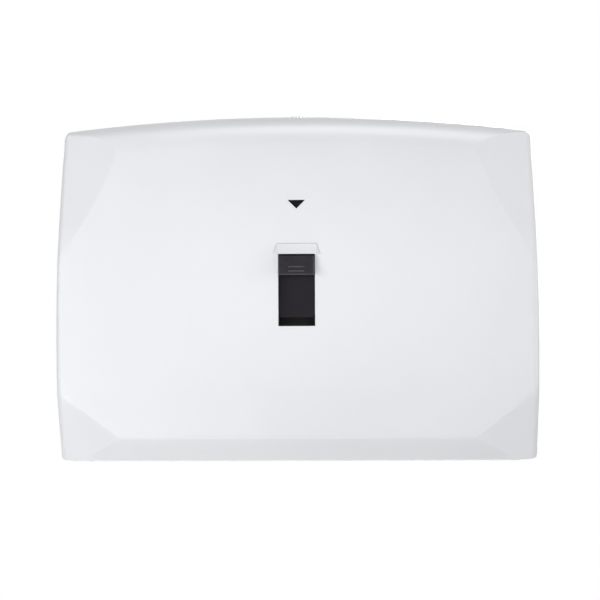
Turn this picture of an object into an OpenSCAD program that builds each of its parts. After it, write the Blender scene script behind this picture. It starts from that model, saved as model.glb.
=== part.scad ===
// Wall-mounted dispenser for folded paper toilet seat covers, with a press-in-and-slide-down lever.
// X runs to the right, Y from the face towards the wall and Z up. Y is 0 at the wall.
// Heights in the values and modules are counted from the bottom edge of the case; the whole
// dispenser is then lowered so that the origin is the centre of its wall screws.

/* [Case] */
// Width of the case at its widest place
case_w = 440; // [400:1:470]
// Height of the case at its middle
case_h = 316; // [300:1:340]
// Depth of the case from the wall to its face
case_d = 80; // [78:0.5:90]
// Wall thickness of the cover
cover_t = 2.5; // [2:0.1:3]
// Height of the widest place above the bottom edge
widest_z = 90; // [80:1:120]
// How far each side draws in up to the top corner
side_draw = 6; // [4:0.5:9]
// How far the top edge falls from its middle to the corner
top_fall = 12.5; // [8:0.5:18]
// How far the face falls back from its middle to the side
face_fall = 7; // [4:0.5:9]
// Radius of the face's crown, seen from the side
crown_r = 900; // [800:10:1200]
// Height at which the face stands out most
belly_z = 150; // [130:1:170]
// Radius of the roll from the face into the top
roll_r = 32; // [24:1:36]

/* [Bevel and corners] */
// Height of the crease above the bottom bevel
bevel_z = 22.8; // [18:0.1:26]
// How far the bevel runs back towards the wall
bevel_run = 22; // [18:0.5:24]
// Height of the upright lip below the bevel
lip_h = 2; // [1:0.5:3]
// Height at which an upper corner facet leaves the side
upper_side_z = 184; // [170:1:200]
// Distance from the middle at which an upper facet meets the roll
upper_roll_x = 165; // [150:1:175]
// Depth that an upper facet leaves at the corner
upper_corner_d = 45; // [43:1:50]
// Height at which a lower corner facet leaves the side
lower_side_z = 64; // [55:1:75]
// Distance from the middle at which a lower facet meets the bevel crease
lower_bevel_x = 164; // [155:1:170]
// Distance from the middle at which a lower facet meets the bottom edge
lower_edge_x = 200; // [195:1:203]

/* [Wall plate] */
// Thickness of the wall plate
plate_t = 2.5; // [2:0.1:3]
// Gap between the wall plate and the cover all round
plate_gap = 1.2; // [1:0.1:2]
// Depth of the rim round the wall plate
rim_d = 9.5; // [9:0.5:14]
// Thickness of the rim, the shelf and the guides
rib_t = 2; // [1.6:0.1:2.5]
// Width between the wall screws
screw_span_x = 320; // [310:1:340]
// Height between the wall screws
screw_span_z = 180; // [160:1:200]
// Height of the middle of the wall screws
screw_mid_z = 150; // [140:1:160]
// Radius of a wall screw hole
wall_hole_r = 2.75; // [2.25:0.25:3.25]

/* [Chamber] */
// Width of the pack of seat covers that the chamber takes
pack_w = 376; // [360:1:380]
// Height of the top face of the shelf that carries the pack
shelf_z = 14.5; // [13:0.5:16]
// Depth of the shelf from the wall
shelf_d = 36; // [32:0.5:37]
// Depth from the wall to the front of the pack
pack_front = 51.5; // [50:0.5:53]
// Height of the side guides above the shelf
guide_h = 110; // [80:5:130]
// Depth of the side guides from the wall
guide_d = 40; // [30:1:42]

/* [Pressure flap] */
// Width of the flap
flap_w = 284; // [260:2:296]
// Gap between the shelf and the lower edge of the flap
flap_gap = 11.5; // [9.5:0.5:30]
// How far the rod lies below the top of the case
rod_drop = 36; // [34:1:40]
// Depth of the rod from the wall
rod_d = 9; // [8.5:0.5:10]
// Radius of the rod
rod_r = 2; // [1.5:0.25:2.5]
// Length of the rod
rod_l = 190; // [180:2:220]
// Angle that the empty flap leans out from the wall
flap_lean = 7; // [4:0.5:7]

/* [Lever] */
// Width of the lever's slot
slot_w = 33.4; // [30:0.2:36]
// Height of the bottom of the slot
slot_z = 124.2; // [120:0.1:130]
// Height of the slot
slot_h = 66; // [60:0.5:70]
// Width of the button
button_w = 32.4; // [28:0.2:33]
// Height of the button
button_h = 19.4; // [18:0.2:21]
// How far the button stands out of the face at its top
button_proud_top = 4; // [3:0.5:6]
// How far the button stands out of the face at its bottom
button_proud_low = 9; // [7:0.5:11]
// How far the button presses in
press_in = 8; // [6:0.5:8.5]
// How far the lever slides down
slide_down = 46; // [40:0.5:46]
// Width of the slide's plate
slide_w = 46; // [42:0.5:50]
// Thickness of the slide's plate
slide_t = 2.5; // [2:0.1:3]
// Depth from the wall to the front of the slide's plate
slide_front = 70.5; // [70:0.1:71]

/* [Lock] */
// Depth of the lock's axis from the wall
lock_d = 26; // [22:0.5:26]
// Radius of the lock barrel
barrel_r = 5; // [4.5:0.1:5.5]
// Radius of the turning plug
plug_r = 3.6; // [3:0.1:4]
// Reach of the cam from the lock's axis
cam_reach = 13; // [13:0.5:15]

/* [Hinge] */
// Depth of the cover's pivot from the wall
pivot_d = 10; // [9.5:0.5:12]
// Height of the cover's pivot above the bottom edge
pivot_z = 8; // [7:0.5:9]
// Radius of a hinge pin
pin_r = 3; // [2.5:0.25:3.5]

/* [Hidden] */

// Steps of the case's sides, crown and roll, and facets round a long arc, a turned part, a
// spring's wire and a spring's turn
side_steps = 20;
crown_steps = 24;
roll_steps = 12;
long_fn = 2880;
round_fn = 64;
wire_fn = 6;
turn_fn = 12;

// Clearances: a running fit, a seated fit, a sliding gap and the gap of the case to the wall
run = 0.05;
seat = 0.02;
slip = 0.3;
wall_gap = 1;
// Length by which cutting shapes pass the faces that they cut
past = 5;

// Screws: shank radius, head radius, head height and the wall of a boss round the shank
shank_r = 1.45;
head_r = 3;
head_h = 2;
boss_wall = 2.4;

half_w = case_w / 2;
corner_z = case_h - top_fall;
side_r = arc_radius(corner_z - widest_z, side_draw);

// The case's long section is swept round a ring that leans, so that the face and the top edge
// both fall away from the middle.
corner_x = half_width(corner_z);
ring_lean = atan2(face_fall, top_fall);
ring_r = arc_radius(corner_x, norm([face_fall, top_fall]));
sweep_half = 12;

// The roll touches the crown where the line between their centres meets both
roll_z = case_h - roll_r;
roll_y = crown_r - case_d - sqrt(pow(crown_r - roll_r, 2) - pow(roll_z - belly_z, 2));

// The bevel follows the face round, so that its crease stays level
bevel_ring_r = ring_r / (sin(ring_lean) - (belly_z - bevel_z) / crown_r * cos(ring_lean));
bevel_top_y = face_y(0, bevel_z);
bevel_low_y = bevel_top_y + bevel_run;
bevel_half = 4;

// Lever stations
slot_top = slot_z + slot_h;
button_z0 = slot_top - button_h - 0.4;
button_z1 = slot_top - 0.4;
button_mid = (button_z0 + button_z1) / 2;
button_back = slide_front + press_in + slip;
slide_back = slide_front - slide_t;
slide_z0 = slot_z + 8;
slide_z1 = slot_top + slide_down + 4;
stem_w = 14;
stem_h = 14;
stem_end = pack_front + 6.5;
stem_z0 = button_mid - stem_h / 2;
hook_w = 1.5;
hook_l = 3;
hook_t = 2.2;
catch_y = -slide_back + 1.2;
block_w = 34;
block_h = 24;
block_t = 3;
pad_t = 2;
pad_rib = 1;
pad_ribs = 6;

// Track round the slide
track_lip = 1.2;
track_lip_w = 4.4;
track_wall = 2.6;
track_in = slide_w / 2 + slip;
track_out = track_in + track_wall;
track_front = slide_front + slip + track_lip;
track_back = slide_back - slip - rib_t;
track_bar = 4;
track_z0 = slide_z0 - slide_down - 2 - track_bar;
ear_w = 10;
ear_x = track_out + ear_w / 2;
ear_zs = [track_z0 + 18, slide_z1 - 12];
boss_r = shank_r + boss_wall;
boss_floor_y = face_y(ear_x, ear_zs[0]) + cover_t;

// Springs
return_x = 21;
return_d = 61.5;
return_coil_r = 2.4;
return_wire_r = 0.4;
return_turns = 13;
bar_z0 = button_z0 - 10;
bar_h = 4;
post_r = 1.4;
press_x = 11.6;
press_coil_r = 2.1;
press_wire_r = 0.3;
press_turns = 4;
press_pocket_r = 2.8;
press_floor = face_proud(button_mid) - 3.2;
flap_spring_x = 76;
flap_coil_r = 3;
flap_wire_r = 0.45;
flap_turns = 4;

// Rod, knuckles of the flap and lugs of the rod
rod_z = case_h - rod_drop;
flap_h = rod_z - shelf_z - flap_gap;
knuckle_x = 50;
knuckle_w = 16;
knuckle_r = 4.4;
flap_t = 2;
lug_x = 90;
lug_w = 4;
clip_t = 0.8;

// Lock stations
barrel_flange_r = barrel_r + 1.2;
barrel_flange_t = 1.1;
barrel_low = case_h - 16;
nut_r = barrel_r + 3;
nut_h = 3.6;
plug_low = barrel_low - 4;
tang = 4;
cam_t = 2.5;
cam_w = 8;
toe_l = 6;
toe_w = 4;
cam_low = plug_low - cam_t;
strike_t = 1.5;
strike_lip_y = -lock_d + cam_reach - toe_w - 0.6;
strike_arm_z = cam_low - head_h - 4;
strike_base_h = 21;
strike_screw_x = 8;
strike_screw_z = strike_arm_z - 12;
strike_y = -plate_t - 1;

// Bottom edge of the wall plate, and hinge stations
plate_z0 = 1.5;
pin_lug_w = 6;
pin_side = half_width(pivot_z);
pin_head_r = 4.6;
pin_head_t = 1.2;
lug_in = pin_side - cover_t - plate_gap - pin_lug_w;
heel_r = pivot_d - wall_gap;

// Radius of an arc with the given half chord and rise
function arc_radius(half_chord, rise) = (half_chord * half_chord + rise * rise) / (2 * rise);

// Half width of the case at height z, moved in by the inset
function half_width(z, inset = 0) = half_w - side_r + sqrt(pow(side_r - inset, 2) - pow(z - widest_z, 2));

// Place of the face at distance x from the middle and height z
function face_y(x, z) = let (fall = x * x / (2 * ring_r), level = z + fall * cos(ring_lean))
  crown_r - case_d - sqrt(crown_r * crown_r - pow(level - belly_z, 2)) + fall * sin(ring_lean);

// How far the button's ramp stands from the wall at height z
function face_proud(z) = let (
    top = -face_y(0, button_z1) + button_proud_top,
    low = -face_y(0, button_z0) + button_proud_low)
  low + (top - low) * (z - button_z0) / (button_z1 - button_z0);

// Extrudes a shape drawn in X and Z from y0 to y1
module along_y(y0, y1) {
  translate([0, y1, 0]) rotate([90, 0, 0]) linear_extrude(y1 - y0) children();
}

// Extrudes a shape drawn in Y and Z from x0 to x1
module along_x(x0, x1) {
  translate([x0, 0, 0]) rotate([90, 0, 90]) linear_extrude(x1 - x0) children();
}

// A block between two corners
module block(low, high) {
  translate(low) cube(high - low);
}

// Round bars along each axis
module bar_x(r, x0, x1, y, z) {
  translate([x0, y, z]) rotate([0, 90, 0]) cylinder(h = x1 - x0, r = r, $fn = round_fn);
}
module bar_y(r, y0, y1, x, z) {
  translate([x, y1, z]) rotate([90, 0, 0]) cylinder(h = y1 - y0, r = r, $fn = round_fn);
}
module bar_z(r, z0, z1, x, y) {
  translate([x, y, z0]) cylinder(h = z1 - z0, r = r, $fn = round_fn);
}

// Both sides, mirrored about the middle
module both_sides() {
  children();
  mirror([1, 0, 0]) children();
}

// Puts its children at the wall screws, at the strike's screws and at the track's screws
module at_wall_screws() {
  for (x = [-1, 1], z = [-1, 1])
    translate([x * screw_span_x / 2, 0, screw_mid_z + z * screw_span_z / 2]) children();
}
module at_strike_screws() {
  for (x = [-1, 1]) translate([x * strike_screw_x, 0, strike_screw_z]) children();
}
module at_track_screws() {
  for (z = ear_zs) both_sides() translate([ear_x, 0, z]) children();
}

// Points of an arc from angle a0 to a1, where 0 is straight ahead of the face and 90 is up
function arc_points(centre, r, a0, a1, steps) =
  [for (i = [0:steps]) let (a = a0 + i * (a1 - a0) / steps) centre + r * [sin(a), -cos(a)]];

// The long section of the case at its middle, drawn with height along X and depth along Y
module long_section(inset) {
  low = asin(-case_h / (2 * crown_r));
  touch = asin((roll_z - belly_z) / (crown_r - roll_r));
  crown = arc_points([belly_z, crown_r - case_d], crown_r - inset, low, touch, crown_steps);
  roll = arc_points([roll_z, roll_y], roll_r - inset, touch, 90, roll_steps);
  polygon(concat(crown, [for (i = [1:roll_steps]) roll[i]],
    [[case_h - inset, case_d], [crown[0][0], case_d]]));
}

// The long section swept round the leaning ring
module face_sweep(inset) {
  translate([0, -case_d, case_h]) rotate([ring_lean, 0, 0]) translate([0, 0, -ring_r])
    rotate([0, -90, -90]) rotate([0, 0, -sweep_half])
      rotate_extrude(angle = 2 * sweep_half, $fn = long_fn)
        translate([ring_r, 0]) rotate(ring_lean) translate([-case_h, case_d])
          long_section(inset);
}

// Outline of the case between its two curved sides, drawn in X and Z
module side_outline(inset) {
  low = -2 * past;
  step = (case_h + past - low) / side_steps;
  right = [for (i = [0:side_steps]) let (z = low + i * step) [half_width(z, inset), z]];
  polygon(concat(right, [for (i = [side_steps:-1:0]) [-right[i][0], right[i][1]]]));
}

// Space between the two curved sides
module side_space(inset) {
  along_y(-case_d - past, past) side_outline(inset);
}

// Space above the bottom bevel and its lip, turned about an upright axis behind the wall
module bevel_space(inset) {
  slope = bevel_run / (bevel_z - lip_h);
  back_r = bevel_ring_r - 2 * case_d;
  lip_r = bevel_ring_r - bevel_run - inset;
  crease_r = bevel_ring_r - inset * norm([1, slope]);
  lip_top = bevel_z - (crease_r - lip_r) / slope;
  ahead = case_d / 2;
  translate([0, bevel_top_y + bevel_ring_r, 0]) rotate([0, 0, -90 - bevel_half])
    rotate_extrude(angle = 2 * bevel_half, $fn = 2 * long_fn)
      polygon([
        [back_r, -past], [lip_r, -past], [lip_r, lip_top],
        [crease_r + ahead, bevel_z + ahead / slope], [crease_r + ahead, case_h + past],
        [back_r, case_h + past]
      ]);
}

// Space behind the plane through three points, moved in by the inset
module plane_space(a, b, c, inset) {
  across = cross(b - a, c - a);
  out = across / norm(across) * (across[1] < 0 ? 1 : -1);
  size = 3 * case_w;
  translate(a - out * inset) rotate([0, acos(out[2]), atan2(out[1], out[0])])
    translate([-size / 2, -size / 2, -size]) cube(size);
}

// Space behind the four corner facets
module facet_space(inset) {
  upper_roll_z = roll_z - top_fall / 4;
  upper_corner_x = corner_x - 3;
  intersection_for (side = [-1, 1]) {
    intersection() {
      plane_space(
        [side * half_w, face_y(half_w, upper_side_z), upper_side_z],
        [side * upper_roll_x, face_y(upper_roll_x, upper_roll_z), upper_roll_z],
        [side * upper_corner_x, -upper_corner_d, corner_z - 2], inset);
      plane_space(
        [side * half_width(lower_side_z), face_y(half_w, lower_side_z), lower_side_z],
        [side * lower_bevel_x, face_y(lower_bevel_x, bevel_z), bevel_z],
        [side * lower_edge_x, bevel_low_y + pow(lower_edge_x, 2) / (2 * bevel_ring_r), lip_h],
        inset);
    }
  }
}

// The body of the case, moved in by the inset, from the height z0 up and from the wall gap out
module case_form(inset, z0, back) {
  intersection() {
    face_sweep(inset);
    facet_space(inset);
    side_space(inset);
    bevel_space(inset);
    block([-case_w, -2 * case_d, z0], [case_w, back, case_h + past]);
  }
}

// Shape of the hood over the button, from the side
module hood() {
  hood_z0 = slot_top;
  hood_z1 = slot_top + 10.5;
  hood_proud = button_proud_top + 0.8;
  flush_y = face_y(0, hood_z1);
  lip_y = face_y(0, hood_z0) - hood_proud;
  intersection() {
    along_x(-slot_w, slot_w)
      polygon([[flush_y + 1, hood_z1 + 1], [flush_y - 0.2, hood_z1], [lip_y, hood_z0 + 1],
        [lip_y + 0.6, hood_z0], [flush_y + 1, hood_z0]]);
    along_y(-2 * case_d, 0)
      polygon([[-slot_w / 2 - 4.2, hood_z0], [slot_w / 2 + 4.2, hood_z0],
        [slot_w / 2 + 2.2, hood_z1 + 1], [-slot_w / 2 - 2.2, hood_z1 + 1]]);
  }
}

// Collar round the slot, behind the face
module slot_collar() {
  wall = 1.6;
  along_y(face_y(0, belly_z) + cover_t / 2, -slide_front - slip - 0.2)
    difference() {
      translate([-slot_w / 2 - wall, slot_z - wall]) square([slot_w + 2 * wall, slot_h + 2 * wall]);
      translate([-slot_w / 2, slot_z]) square([slot_w, slot_h]);
    }
}

// Bosses that the track is screwed to
module track_bosses() {
  for (z = ear_zs) both_sides()
    bar_y(boss_r, face_y(ear_x, z) + cover_t / 2, -track_back - rib_t, ear_x, z);
}

// Upright ribs that hold the front of the pack
module pack_ribs() {
  low = 3 * shelf_z;
  step = (rod_z - low) / 8;
  for (x = [pack_w / 5, pack_w * 2 / 5]) both_sides()
    along_x(x - rib_t / 2, x + rib_t / 2)
      polygon(concat([[-pack_front, rod_z], [-pack_front, low]],
        [for (z = [low:step:rod_z + step / 2]) [face_y(x, z) + cover_t / 2, z]]));
}

// The cover: shell, hood, collar, bosses, ribs, pivot holes and lock hole
module front_cover() {
  color("white")
    difference() {
      union() {
        difference() {
          case_form(0, 0, -wall_gap);
          case_form(cover_t, -past, past);
        }
        hood();
        slot_collar();
        track_bosses();
        pack_ribs();
      }
      block([-slot_w / 2, -2 * case_d, slot_z], [slot_w / 2, -slide_front, slot_top]);
      at_track_screws() bar_y(shank_r + seat, boss_floor_y, 0, 0, 0);
      both_sides() bar_x(pin_r + run, lug_in, half_w + past, -pivot_d, pivot_z);
      bar_z(barrel_r + seat, barrel_low, case_h + past, 0, -lock_d);
      both_sides() heel_cut();
    }
}

// Takes off the heel behind the pivot, so that it clears the wall as the cover swings down
module heel_cut() {
  along_x(lug_in, half_w + past) difference() {
    translate([-pivot_d, -past]) square([pivot_d + past, pivot_z + past]);
    translate([-pivot_d, pivot_z]) circle(r = heel_r, $fn = round_fn);
  }
}

// Steel pin at one side, with its head outside the cover
module hinge_pin() {
  color("silver") {
    bar_x(pin_r, lug_in, pin_side + slip, -pivot_d, pivot_z);
    bar_x(pin_head_r, pin_side + slip, pin_side + slip + pin_head_t, -pivot_d, pivot_z);
  }
}

// Sheet of the wall plate with its rim
module plate_tray() {
  edge = cover_t + plate_gap;
  difference() {
    case_form(edge, plate_z0, 0);
    case_form(edge + rib_t, plate_z0 + rib_t, -plate_t);
    block([-case_w, -2 * case_d, -past], [case_w, -rim_d, case_h + past]);
  }
}

// Shelf, its gussets and the side guides of the pack
module pack_carrier() {
  guide_x = pack_w / 2 + 2;
  block([-guide_x - rib_t, -shelf_d, shelf_z - 2.5], [guide_x + rib_t, -plate_t / 2, shelf_z]);
  for (i = [-2:2]) translate([i * guide_x / 2, 0, 0]) along_x(-rib_t / 2, rib_t / 2)
    polygon([[-plate_t / 2, shelf_z - 1], [-shelf_d + 2, shelf_z - 1], [-rim_d / 2, 2],
      [-plate_t / 2, 2]]);
  both_sides() along_x(guide_x, guide_x + rib_t)
    polygon([[-plate_t / 2, shelf_z - 1], [-shelf_d, shelf_z - 1], [-guide_d, shelf_z + 8],
      [-guide_d, shelf_z + guide_h - 25], [-plate_t / 2, shelf_z + guide_h]]);
}

// Lugs that hold the flap's rod
module rod_lugs() {
  both_sides() along_x(lug_x - lug_w / 2, lug_x + lug_w / 2)
    difference() {
      union() {
        translate([-rod_d, rod_z - knuckle_r]) square([rod_d - plate_t / 2, 2 * knuckle_r]);
        translate([-rod_d, rod_z]) circle(r = knuckle_r, $fn = round_fn);
      }
      translate([-rod_d, rod_z]) circle(r = rod_r + seat, $fn = round_fn);
    }
}

// Lugs that hold the cover's hinge pins
module pin_lugs() {
  both_sides() along_x(lug_in, lug_in + pin_lug_w) {
    translate([-pivot_d, plate_z0]) square([pivot_d - plate_t / 2, 2 * (pivot_z - plate_z0)]);
    translate([-pivot_d, pivot_z]) circle(r = pivot_z - plate_z0, $fn = round_fn);
  }
}

// Stiffening ribs and screw pads on the wall plate
module plate_ribs() {
  rib_d = plate_t + 1.2;
  rib_x = 0.3 * flap_w;
  both_sides()
    block([rib_x - rib_t / 2, -rib_d, shelf_z], [rib_x + rib_t / 2, -plate_t / 2, rod_z - 14]);
  at_wall_screws() bar_y(3 * wall_hole_r, -rib_d, -plate_t / 2, 0, 0);
}

// The wall plate
module back_plate() {
  color("white")
    difference() {
      union() {
        plate_tray();
        pack_carrier();
        rod_lugs();
        pin_lugs();
        plate_ribs();
        at_strike_screws() bar_y(boss_r, strike_y, -plate_t / 2, 0, 0);
      }
      at_wall_screws() bar_y(wall_hole_r, -2 * past, past, 0, 0);
      at_strike_screws() bar_y(shank_r + seat, -2 * past, past, 0, 0);
      both_sides() bar_x(pin_r + seat, lug_in - 1, half_w, -pivot_d, pivot_z);
      block([-case_w, -2 * case_d, -past], [case_w, past, plate_z0]);
    }
}

// Lock barrel in the cover's top wall
module lock_barrel() {
  color("silver") difference() {
    union() {
      bar_z(barrel_r, barrel_low, case_h, 0, -lock_d);
      bar_z(barrel_flange_r, case_h, case_h + barrel_flange_t, 0, -lock_d);
    }
    bar_z(plug_r + run, barrel_low - 1, case_h + past, 0, -lock_d);
  }
}

// Hexagonal nut under the top wall
module lock_nut() {
  nut_top = case_h - cover_t - slip;
  color("silver") difference() {
    translate([0, -lock_d, nut_top - nut_h]) cylinder(h = nut_h, r = nut_r, $fn = 6);
    bar_z(barrel_r + seat, barrel_low, case_h, 0, -lock_d);
  }
}

// Turning plug with its key slot and square tang
module lock_plug() {
  top = case_h + barrel_flange_t - 0.2;
  color("silver") difference() {
    union() {
      bar_z(plug_r, plug_low, top, 0, -lock_d);
      translate([-tang / 2, -lock_d - tang / 2, cam_low]) cube([tang, tang, cam_t + 1]);
    }
    block([-2.6, -lock_d - 0.5, top - 6], [2.6, -lock_d + 0.5, top + 1]);
    bar_z(1.25 + seat, cam_low - 1, cam_low + 8, 0, -lock_d);
  }
}

// Hooked cam, drawn unlocked with its bar to the left
module lock_cam() {
  color("silver") translate([0, -lock_d, cam_low]) rotate(90) difference() {
    linear_extrude(cam_t) {
      circle(r = cam_w / 2 + 1, $fn = round_fn);
      translate([-cam_w / 2, 0]) square([cam_w, cam_reach]);
      translate([0, cam_reach - toe_w]) square([cam_w / 2 + toe_l, toe_w]);
    }
    translate([-tang / 2 - run, -tang / 2 - run, -1])
      cube([tang + 2 * run, tang + 2 * run, cam_t + 2]);
  }
}

// Screw that holds the cam to the plug
module cam_screw() {
  color("gray") {
    bar_z(1.25, cam_low, cam_low + 6, 0, -lock_d);
    bar_z(head_r, cam_low - head_h, cam_low, 0, -lock_d);
  }
}

// Bent steel strike behind whose lip the cam hooks
module lock_strike() {
  lip_x0 = cam_w / 2 + 1;
  lip_x1 = lip_x0 + 7;
  lip_y0 = strike_lip_y - strike_t;
  low = strike_arm_z - strike_base_h;
  high = strike_arm_z + strike_t;
  color("silver") difference() {
    union() {
      block([-lip_x1, strike_y - strike_t, low], [lip_x1, strike_y, high]);
      block([lip_x0, lip_y0, strike_arm_z], [lip_x1, strike_y, high]);
      block([lip_x0, lip_y0, strike_arm_z], [lip_x1, strike_lip_y, cam_low + cam_t + 3]);
    }
    at_strike_screws() bar_y(shank_r + seat, -3 * past, 0, 0, 0);
  }
}

// Two screws of the strike
module strike_screws() {
  under_head = strike_y - strike_t;
  color("gray") at_strike_screws() {
    bar_y(shank_r, under_head, -slip, 0, 0);
    bar_y(head_r, under_head - head_h, under_head, 0, 0);
  }
}

// Black guide screwed behind the face, with a groove at each side for the slide
module slide_track() {
  seat_z0 = track_z0 + track_bar;
  top_bar_z = slide_z1 + slip;
  top = top_bar_z + track_bar;
  lip_x = track_in - track_lip_w;
  back_lip_y = -track_back - rib_t;
  color([0.1, 0.1, 0.11]) difference() {
    union() {
      both_sides() {
        block([track_in, -track_front, track_z0], [track_out, -track_back, top]);
        block([lip_x, -track_front, track_z0], [track_out, -track_front + track_lip, top]);
        block([lip_x, back_lip_y, track_z0], [track_out, -track_back, top]);
        bar_z(post_r, seat_z0 - 1, bar_z0 - slide_down - slip - 2, return_x, -return_d);
      }
      at_track_screws()
        block([-ear_w / 2 - 1, back_lip_y, -ear_w / 2], [ear_w / 2, -track_back, ear_w / 2]);
      block([-track_out, -track_front, track_z0], [track_out, -return_d + 4, seat_z0]);
      block([-track_out, -track_front, top_bar_z], [track_out, -track_back, top]);
    }
    at_track_screws() bar_y(shank_r + seat, -case_d, 0, 0, 0);
  }
}

// Four screws of the track
module track_screws() {
  tip = 5.5;
  color("gray") at_track_screws() {
    bar_y(shank_r, -track_back - rib_t - tip, -track_back, 0, 0);
    bar_y(head_r, -track_back, -track_back + head_h, 0, 0);
  }
}

// Sliding plate that closes the slot, with the window of the button's stem and its spring bar
module slide_carriage() {
  web_w = 24;
  bar_x1 = return_x + 3.5;
  hole_x = stem_w / 2 + slip;
  hole_z0 = stem_z0 - slip;
  hole_z1 = stem_z0 + stem_h + slip;
  color([0.1, 0.1, 0.11]) difference() {
    union() {
      block([-slide_w / 2, -slide_front, slide_z0], [slide_w / 2, -slide_back, slide_z1]);
      block([-web_w / 2, -slide_back - 0.5, bar_z0], [web_w / 2, -return_d + 3, bar_z0 + bar_h]);
      block([-bar_x1, -return_d - 3, bar_z0], [bar_x1, -return_d + 3, bar_z0 + bar_h]);
      block([-hole_x - rib_t, -slide_back - 0.5, hole_z0 - rib_t],
        [hole_x + rib_t, catch_y, hole_z1 + rib_t]);
    }
    block([-hole_x, -case_d, hole_z0], [hole_x, 0, hole_z1]);
    both_sides() bar_z(post_r + slip, bar_z0 - 1, bar_z0 + bar_h + 1, return_x, -return_d);
  }
}

// Finger button: ramped cap with two ribs, spring pockets, stem and catches
module lever_button() {
  rib_half = 7.3;
  face_top = face_proud(button_z1);
  face_low = face_proud(button_z0);
  color([0.14, 0.13, 0.14]) difference() {
    union() {
      intersection() {
        along_x(-button_w / 2, button_w / 2)
          polygon([[-button_back, button_z0], [-face_low + 1.2, button_z0],
            [-face_low, button_z0 + 1.2], [-face_top, button_z1], [-button_back, button_z1]]);
        along_y(-2 * case_d, 0)
          polygon([[-button_w / 2, button_z0 + 1], [-button_w / 2 + 1, button_z0],
            [button_w / 2 - 1, button_z0], [button_w / 2, button_z0 + 1],
            [button_w / 2, button_z1], [-button_w / 2, button_z1]]);
      }
      for (z = [button_mid - 1.4, button_mid - 5])
        bar_x(0.9, -rib_half, rib_half, -face_proud(z), z);
      block([-stem_w / 2, -button_back - 1, stem_z0], [stem_w / 2, -stem_end, stem_z0 + stem_h]);
      both_sides() block([stem_w / 2 - 0.5, catch_y + slip, button_mid - hook_l],
        [stem_w / 2 + hook_w, catch_y + slip + hook_t, button_mid + hook_l]);
    }
    both_sides() bar_y(press_pocket_r, -press_floor, 0, press_x, button_mid);
    bar_y(shank_r + seat, -stem_end - 10, 0, 0, button_mid);
  }
}

// Block on the stem's end
module foot_block() {
  color([0.16, 0.16, 0.17]) difference() {
    block([-block_w / 2, -stem_end, button_mid - block_h / 2],
      [block_w / 2, -stem_end + block_t, button_mid + block_h / 2]);
    bar_y(shank_r + seat, -case_d, 0, 0, button_mid);
    bar_y(head_r + seat, -stem_end + block_t - head_h, 0, 0, button_mid);
  }
}

// Ribbed rubber pad that grips the front sheet
module feed_pad() {
  back = -stem_end + block_t;
  low = button_mid - block_h / 2;
  pitch = block_h / pad_ribs;
  color([0.2, 0.2, 0.2]) {
    block([-block_w / 2, back, low], [block_w / 2, back + pad_t, low + block_h]);
    for (i = [0:pad_ribs - 1])
      bar_x(pad_rib, -block_w / 2, block_w / 2, back + pad_t, low + (i + 0.5) * pitch);
  }
}

// Screw that holds the block to the stem
module foot_screw() {
  head_y = -stem_end + block_t - head_h;
  color("gray") {
    bar_y(shank_r, head_y - 8, head_y, 0, button_mid);
    bar_y(head_r, head_y, head_y + head_h, 0, button_mid);
  }
}

// A closed tube along a list of [centre, outward direction], for wire wound about the Z axis
module wire(stations, wire_r) {
  count = len(stations);
  points = [for (s = stations, k = [0:wire_fn - 1])
    let (a = k * 360 / wire_fn) s[0] + wire_r * (cos(a) * s[1] + sin(a) * [0, 0, 1])];
  sides = [for (i = [0:count - 2], k = [0:wire_fn - 1], half = [0, 1])
    let (n = (k + 1) % wire_fn, a = i * wire_fn, b = (i + 1) * wire_fn)
      half == 0 ? [a + k, a + n, b + n] : [a + k, b + n, b + k]];
  start = [for (k = [wire_fn - 1:-1:0]) k];
  end = [for (k = [0:wire_fn - 1]) (count - 1) * wire_fn + k];
  polyhedron(points, concat([start], sides, [end]));
}

// Turns of a spring about the Z axis from height 0 to the given length, with closed ends
module coil(coil_r, wire_r, turns, length) {
  steps = turns * turn_fn;
  low = wire_r;
  high = length - wire_r;
  dead = 2.1 * wire_r;
  wire([for (i = [0:steps]) let (
      t = i / turn_fn,
      a = t * 360,
      z = t < 1 ? low + dead * t
        : t > turns - 1 ? high - dead * (turns - t)
        : low + dead + (high - low - 2 * dead) * (t - 1) / (turns - 2))
    [[coil_r * cos(a), coil_r * sin(a), z], [cos(a), sin(a), 0]]], wire_r);
}

// Spring under the slide's bar at one side
module return_spring(side) {
  foot_z = track_z0 + track_bar;
  color("silver") translate([side * return_x, -return_d, foot_z])
    coil(return_coil_r, return_wire_r, return_turns, bar_z0 - foot_z);
}

// Spring between the slide and the button at one side
module press_spring(side) {
  color("silver") translate([side * press_x, -slide_front, button_mid]) rotate([90, 0, 0])
    coil(press_coil_r, press_wire_r, press_turns, press_floor - slide_front);
}

// Spring round the rod at one side, with one leg on the plate and one on the flap
module flap_spring(side) {
  steps = flap_turns * turn_fn;
  pitch = 2.6 * flap_wire_r;
  plate_leg = 8;
  flap_leg = 14;
  first = [[flap_coil_r, -plate_leg, 0], [1, 0, 0]];
  turns = [for (i = [0:steps]) let (a = i * 360 / turn_fn)
    [[flap_coil_r * cos(a), flap_coil_r * sin(a), pitch * i / turn_fn], [cos(a), sin(a), 0]]];
  last = [[flap_coil_r, flap_leg, pitch * flap_turns], [1, 0, 0]];
  color("silver") translate([side * flap_spring_x, -rod_d, rod_z]) mirror([side < 0 ? 1 : 0, 0, 0])
    rotate([0, 90, 0]) rotate(90 + flap_lean) wire(concat([first], turns, [last]), flap_wire_r);
}

// Rod of the flap
module flap_rod() {
  color("silver") bar_x(rod_r, -rod_l / 2, rod_l / 2, -rod_d, rod_z);
}

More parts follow.
